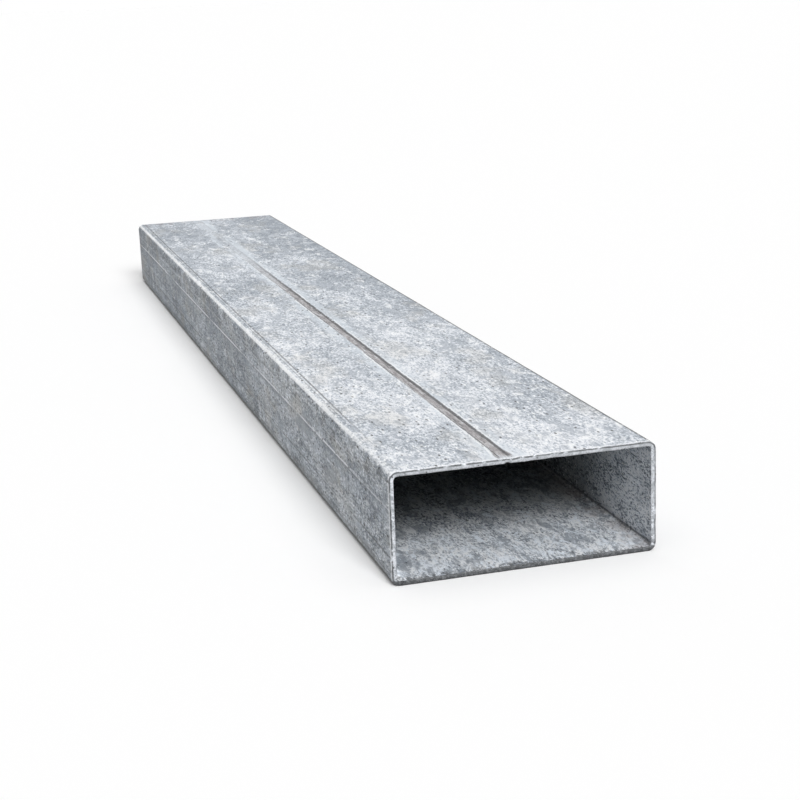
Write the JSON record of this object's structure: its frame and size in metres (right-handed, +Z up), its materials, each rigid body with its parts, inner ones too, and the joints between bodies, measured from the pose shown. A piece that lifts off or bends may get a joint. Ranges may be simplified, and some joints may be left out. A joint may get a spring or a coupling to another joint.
{
  "type": "rectangular steel tube",
  "caption": "Straight length of galvanised rectangular hollow steel section with round corners, a weld seam along its upper wide side and square-sawn open ends.",
  "frame": {"origin": "middle of the lower face, which lies on the floor", "axes": "+X across the wide side, +Y along the length away from the near sawn end, +Z up through the short side"},
  "size_m": [0.12, 0.8, 0.05],
  "materials": {
    "galvanised_steel": "hot-dip galvanised, mottled matt zinc with rolling scratches"
  },
  "bodies": {
    "root": {"rectangular_tube": "galvanised_steel"}
  },
  "joints": []
}
